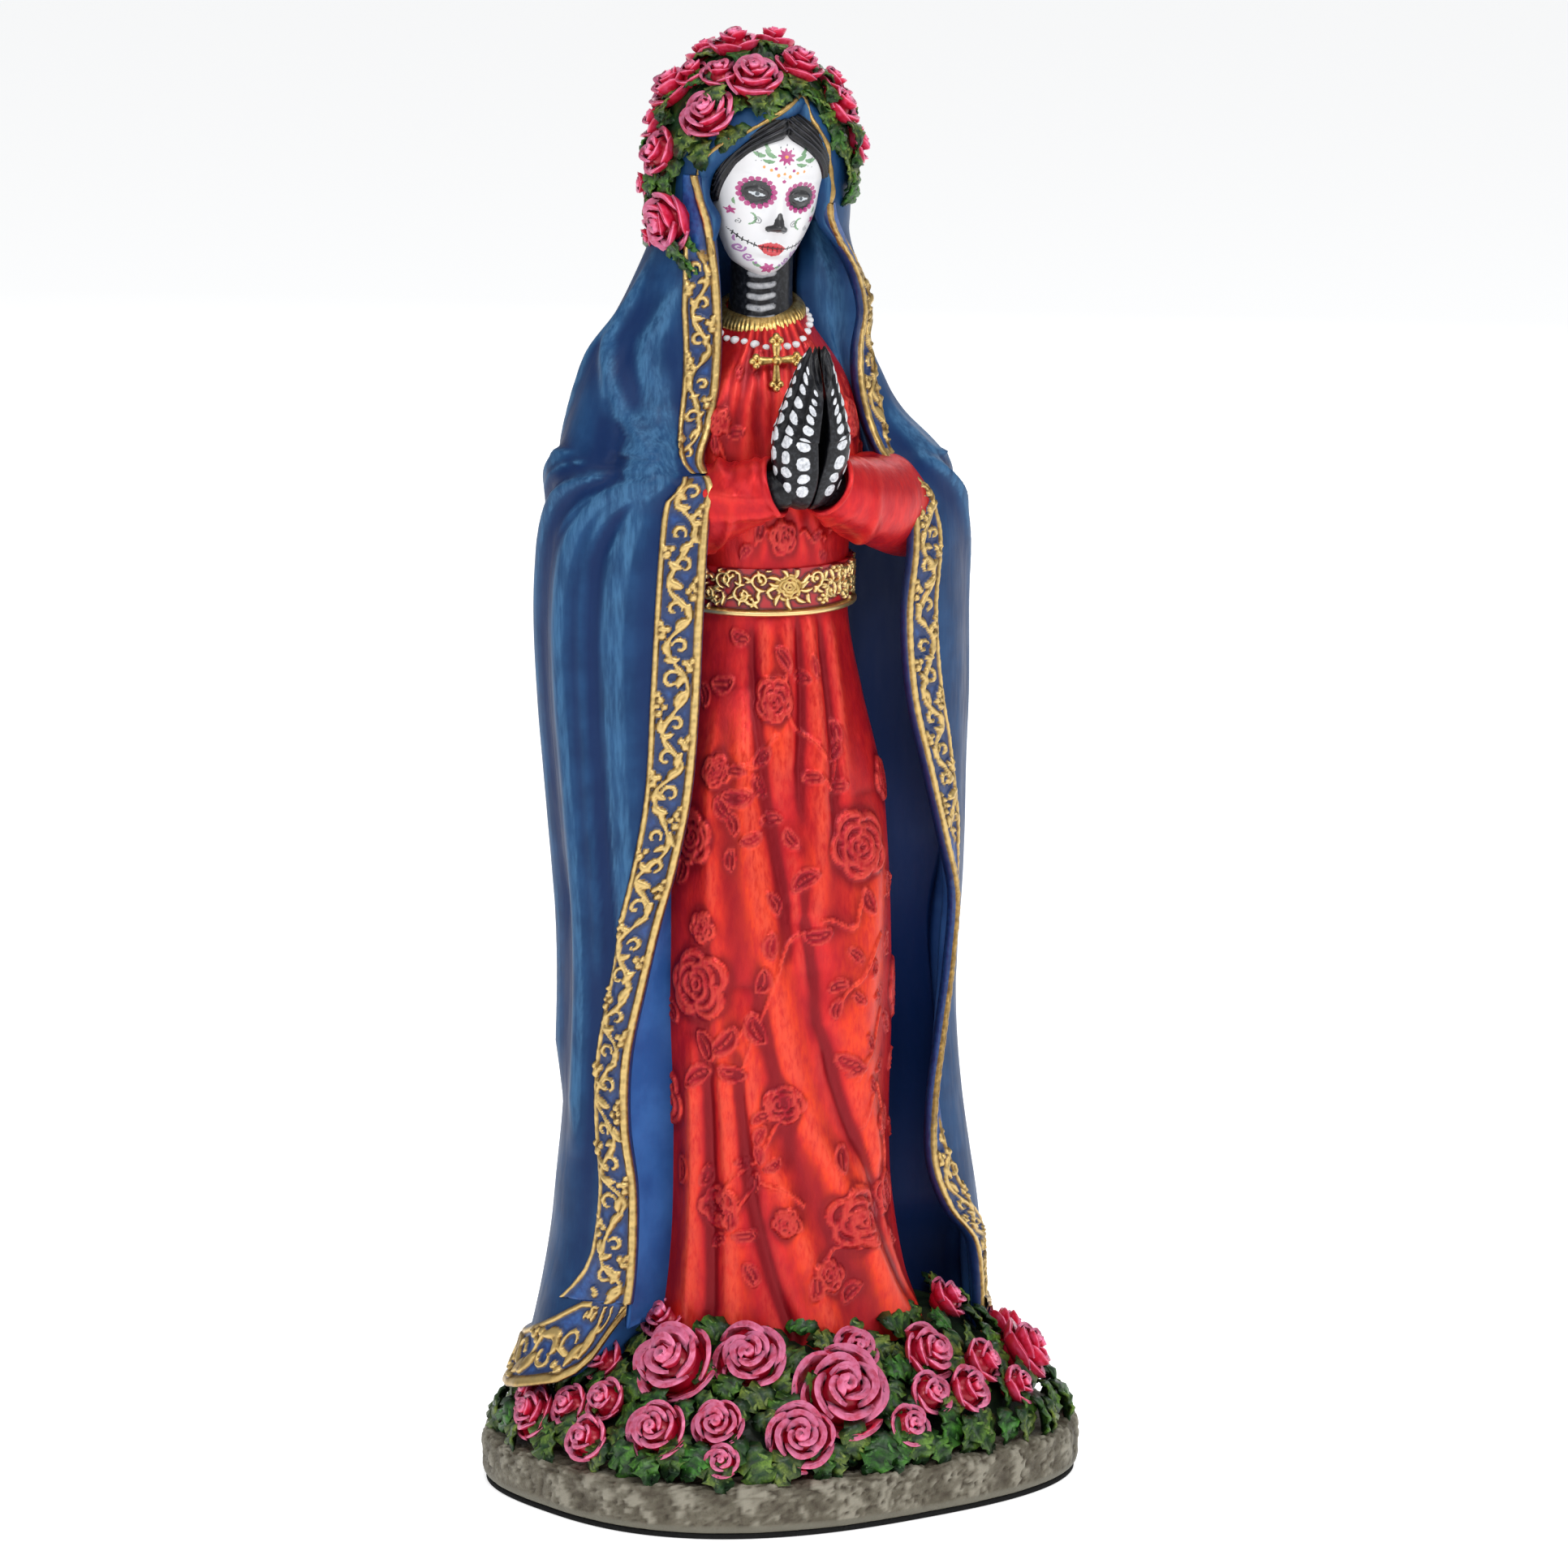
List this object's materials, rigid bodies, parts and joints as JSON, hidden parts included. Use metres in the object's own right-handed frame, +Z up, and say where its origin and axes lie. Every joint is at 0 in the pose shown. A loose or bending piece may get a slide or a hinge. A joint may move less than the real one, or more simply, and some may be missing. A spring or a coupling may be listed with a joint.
{
  "type": "praying skull-faced virgin figurine",
  "caption": "Praying robed woman with a painted skull face, hooded mantle and rose crown, standing in a heap of roses on a stone slab.",
  "frame": {"origin": "centre of the bounding box at the underside of the pad", "axes": "+Z up the figure; the figure looks toward -Y and its right hand side is toward -X"},
  "size_m": [0.1188, 0.1032, 0.2899],
  "materials": {
    "mantle_blue": "hand-painted satin resin, blue brushed lighter on the folds",
    "lining_navy": "painted satin resin, darker than the outside of the mantle",
    "gown_red": "painted satin resin with a warm metallic brushing on the folds",
    "gold_paint": "gold paint on raised ornament",
    "skin_black": "black painted resin with white painted bones",
    "face_white": "white painted face with coloured painted ornament",
    "hair_black": "glossy black paint",
    "rose_pink": "pearly crimson paint with lighter pink petal edges",
    "leaf_green": "dark green paint brushed yellow-green",
    "stone_grey": "painted to look like rough stone",
    "felt_black": "thin black pad"
  },
  "bodies": {
    "root": {"figurine": "mantle_blue", "felt_pad": "felt_black"}
  },
  "joints": []
}
